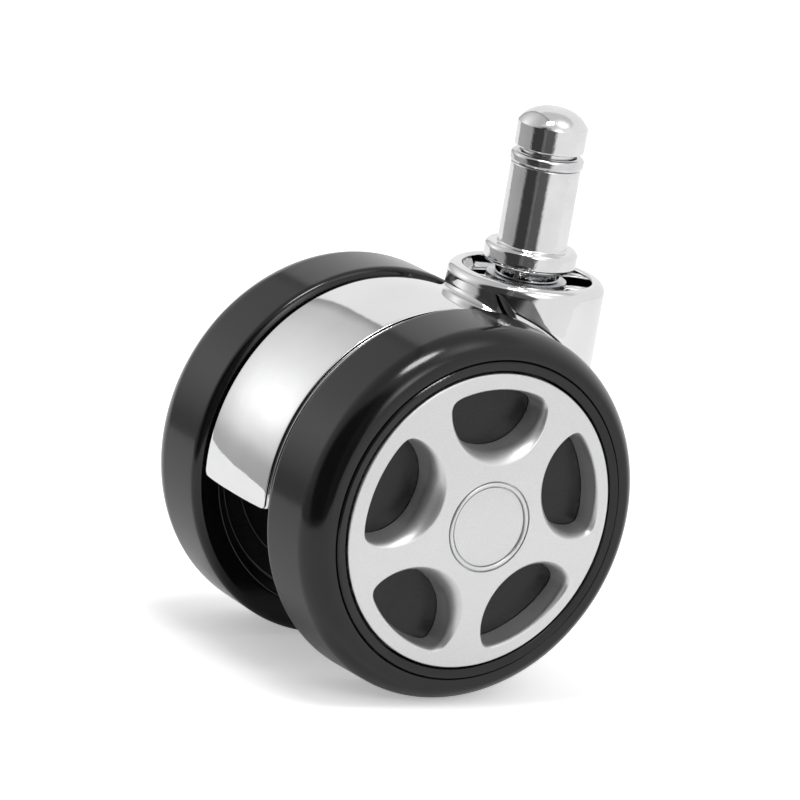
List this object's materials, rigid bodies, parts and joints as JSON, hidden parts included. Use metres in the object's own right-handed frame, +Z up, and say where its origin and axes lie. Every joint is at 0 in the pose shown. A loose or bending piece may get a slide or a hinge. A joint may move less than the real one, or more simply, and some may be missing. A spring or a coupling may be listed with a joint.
{
  "type": "chair caster wheel",
  "caption": "Twin-wheel swivel caster with a hooded metal body, window-cover wheels and a plain round stem with a grip ring, for office chair legs.",
  "frame": {"origin": "on the swivel axis, at the top of the stem's collar, where the chair leg's end face rests", "axes": "+Z up along the stem, Y along the axle, -X towards the trailing wheels"},
  "size_m": [0.0606, 0.0546, 0.0891],
  "materials": {
    "chrome": "polished chrome plate",
    "spring_steel": "bright spring steel",
    "plated_steel": "zinc-plated steel",
    "bush_plastic": "natural acetal",
    "tyre": "glossy black polyurethane",
    "rim_plastic": "black moulded nylon",
    "satin_silver": "satin silver"
  },
  "bodies": {
    "stem": {"stem": "chrome", "grip_ring": "spring_steel", "stem_circlip": "spring_steel"},
    "housing": {"housing": "chrome", "thrust_washer": "plated_steel", "stem_bush": "bush_plastic", "axle": "plated_steel", "left_push_nut": "spring_steel", "left_spacer": "plated_steel", "right_push_nut": "spring_steel", "right_spacer": "plated_steel"},
    "left_wheel": {"left_tyre": "tyre", "left_rim": "rim_plastic", "left_cover": "satin_silver", "left_hub_cap": "satin_silver", "left_hub_bush": "bush_plastic"},
    "right_wheel": {"right_tyre": "tyre", "right_rim": "rim_plastic", "right_cover": "satin_silver", "right_hub_cap": "satin_silver", "right_hub_bush": "bush_plastic"}
  },
  "joints": [
    {"name": "swivel", "type": "hinge", "parent": "stem", "child": "housing", "pos_m": [0, 0, 0], "axis": [0, 0, 1], "continuous": true},
    {"name": "left_wheel_spin", "type": "hinge", "parent": "housing", "child": "left_wheel", "pos_m": [-0.0182, 0.018, -0.0371], "axis": [0, 1, 0], "continuous": true},
    {"name": "right_wheel_spin", "type": "hinge", "parent": "housing", "child": "right_wheel", "pos_m": [-0.0182, -0.018, -0.0371], "axis": [0, 1, 0], "continuous": true}
  ]
}
